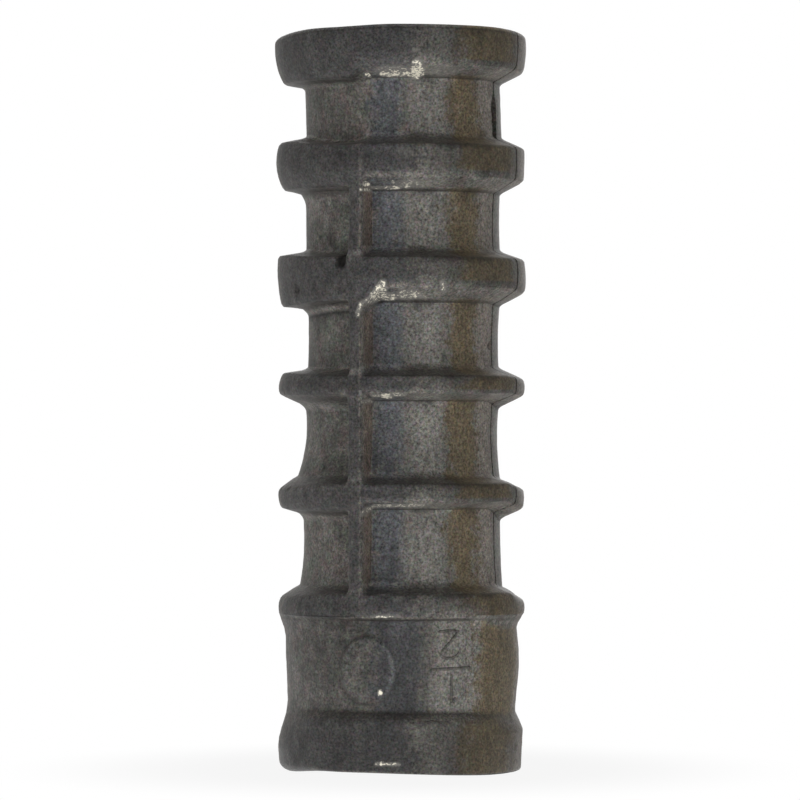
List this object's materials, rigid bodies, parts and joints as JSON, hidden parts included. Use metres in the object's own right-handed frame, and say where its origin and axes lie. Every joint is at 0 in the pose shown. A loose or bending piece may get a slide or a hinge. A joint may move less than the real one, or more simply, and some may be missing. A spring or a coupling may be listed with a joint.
{
  "type": "lag shield anchor",
  "caption": "Cast zinc lag shield: a ribbed split sleeve with a closed collar, finned half shells and a tapered, threaded bore for a lag screw.",
  "frame": {"origin": "centre of the collar's flat end face, which is the lowest face as it stands", "axes": "+Z along the bore axis, from the collar where the screw enters to the end that is pushed into the hole first; the slots face +X and -X, the fins face -Y and +Y"},
  "size_m": [0.013, 0.013, 0.0381],
  "materials": {
    "cast_zinc": "dull grey-brown patina on a rough casting"
  },
  "bodies": {
    "root": {"shield_body": "cast_zinc"}
  },
  "joints": []
}
